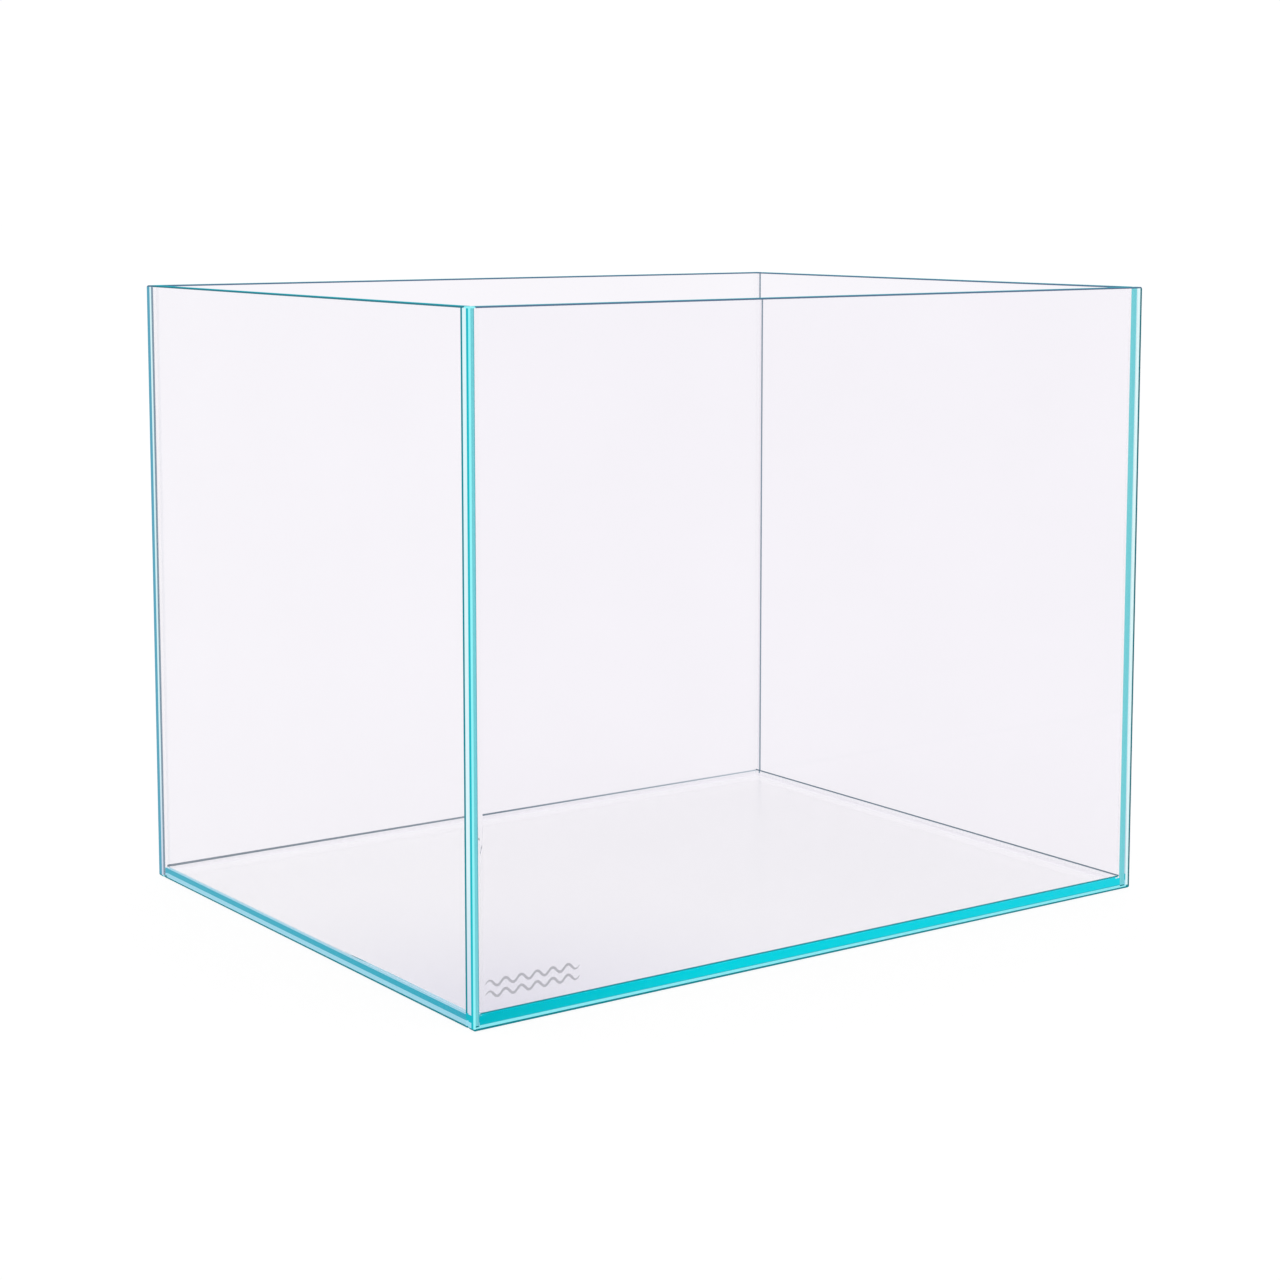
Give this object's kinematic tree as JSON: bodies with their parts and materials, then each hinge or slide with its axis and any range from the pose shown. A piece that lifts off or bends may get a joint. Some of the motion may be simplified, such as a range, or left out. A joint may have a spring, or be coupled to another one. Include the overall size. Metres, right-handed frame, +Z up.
{
  "type": "glass aquarium tank",
  "caption": "Rimless open-topped rectangular aquarium in clear float glass, with ground blue-green edges and thin clear silicone joints.",
  "frame": {"origin": "on the surface the tank stands on, under the middle of its outside width and depth", "axes": "+X along the width, towards the right pane; +Y from the front pane towards the back pane; +Z up, out of the open top"},
  "size_m": [0.45, 0.355, 0.35],
  "materials": {
    "glass": "clear float glass, edges ground and blue-green",
    "silicone": "translucent clear silicone sealant"
  },
  "bodies": {
    "root": {"front_pane": "glass", "back_pane": "glass", "left_pane": "glass", "right_pane": "glass", "base_pane": "glass", "front_left_seam": "silicone", "front_right_seam": "silicone", "back_left_seam": "silicone", "back_right_seam": "silicone", "front_floor_seam": "silicone", "back_floor_seam": "silicone", "left_floor_seam": "silicone", "right_floor_seam": "silicone"}
  },
  "joints": []
}
